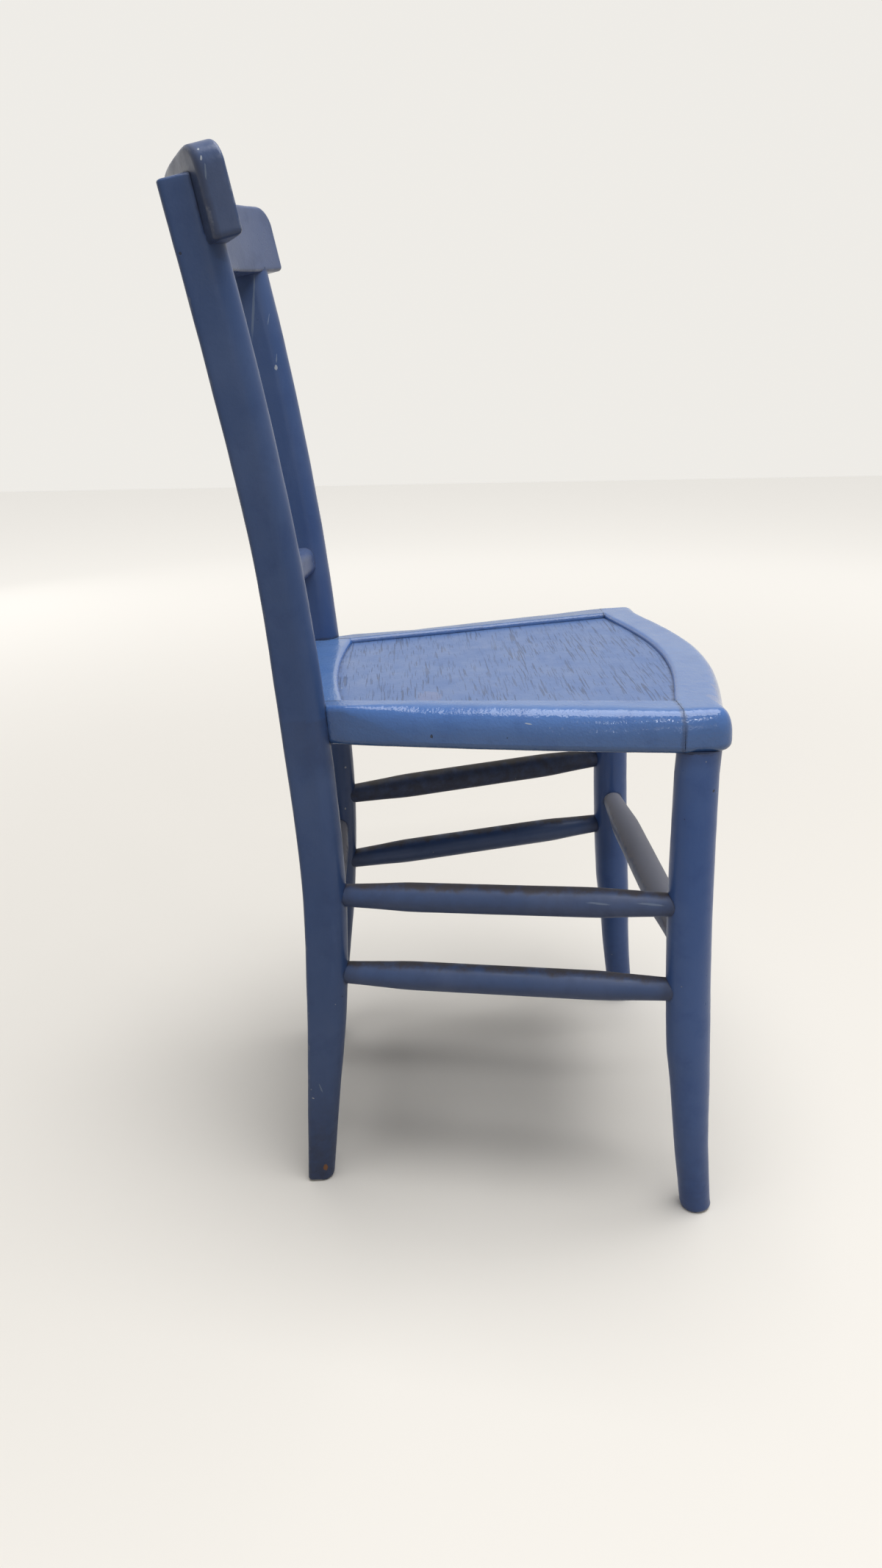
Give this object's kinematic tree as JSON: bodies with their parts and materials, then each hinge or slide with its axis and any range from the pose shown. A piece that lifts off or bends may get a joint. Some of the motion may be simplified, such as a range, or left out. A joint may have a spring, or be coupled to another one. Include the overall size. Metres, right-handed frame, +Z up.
{
  "type": "wooden side chair",
  "caption": "Small wooden side chair with a framed plywood seat, curved back posts, crest rail, stay and turned stretchers, in old worn and crazed blue paint.",
  "frame": {"origin": "on the floor, under the middle of the chair's box", "axes": "+X to the sitter's left, across the chair; -Y towards the front of the seat; +Z up"},
  "size_m": [0.3916, 0.431, 0.819],
  "materials": {
    "blue_paint_frame": "brushed semi-gloss blue paint on beech, worn at the arrises, with dirt in the joints",
    "blue_paint_legs": "brushed semi-gloss blue paint on beech, rubbed, with chips down to the wood at the feet",
    "blue_paint_stretchers": "blue paint on turned beech, dulled and worn grey-brown where feet have rubbed",
    "blue_paint_panel": "faded blue paint on plywood, crazed in fine lines across the seat",
    "bare_beech": "bare beech, hidden in the joints"
  },
  "bodies": {
    "root": {"crest_rail": "blue_paint_frame", "stay_rail": "blue_paint_frame", "seat_front_rail": "blue_paint_frame", "seat_side_rail_left": "blue_paint_frame", "seat_side_rail_right": "blue_paint_frame", "seat_back_rail": "blue_paint_frame", "rear_post_left": "blue_paint_legs", "rear_post_right": "blue_paint_legs", "front_leg_left": "blue_paint_legs", "front_leg_right": "blue_paint_legs", "side_stretcher_left_upper": "blue_paint_stretchers", "side_stretcher_left_lower": "blue_paint_stretchers", "side_stretcher_right_upper": "blue_paint_stretchers", "side_stretcher_right_lower": "blue_paint_stretchers", "front_stretcher": "blue_paint_stretchers", "rear_stretcher": "blue_paint_stretchers", "seat_panel": "blue_paint_panel", "seat_dowel_left_inner": "bare_beech", "seat_dowel_left_outer": "bare_beech", "seat_dowel_right_inner": "bare_beech", "seat_dowel_right_outer": "bare_beech", "crest_dowel_left": "bare_beech", "crest_dowel_right": "bare_beech"}
  },
  "joints": []
}
